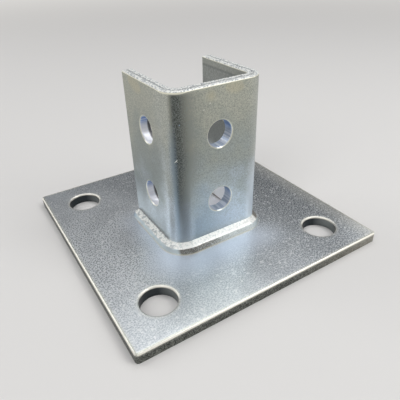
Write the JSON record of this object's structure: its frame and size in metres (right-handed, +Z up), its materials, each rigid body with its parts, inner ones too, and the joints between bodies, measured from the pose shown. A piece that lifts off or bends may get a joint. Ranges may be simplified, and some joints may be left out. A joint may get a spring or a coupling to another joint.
{
  "type": "strut post base",
  "caption": "Square anchor plate with a U-shaped stirrup welded upright on its middle; takes a strut channel post and bolts to a floor.",
  "frame": {"origin": "centre of the plate's underside", "axes": "+Z up through the stirrup; the web faces -Y and the stirrup's open side faces +Y; the flanges stand at -X and +X"},
  "size_m": [0.1524, 0.1524, 0.0949],
  "materials": {
    "plate": "zinc-plated over a fine pebbled rolled surface",
    "stirrup": "satin zinc-plated",
    "weld": "bright zinc-plated over a rippled weld"
  },
  "bodies": {
    "root": {"base_plate": "plate", "strut_stirrup": "stirrup", "weld_bead": "weld"}
  },
  "joints": []
}
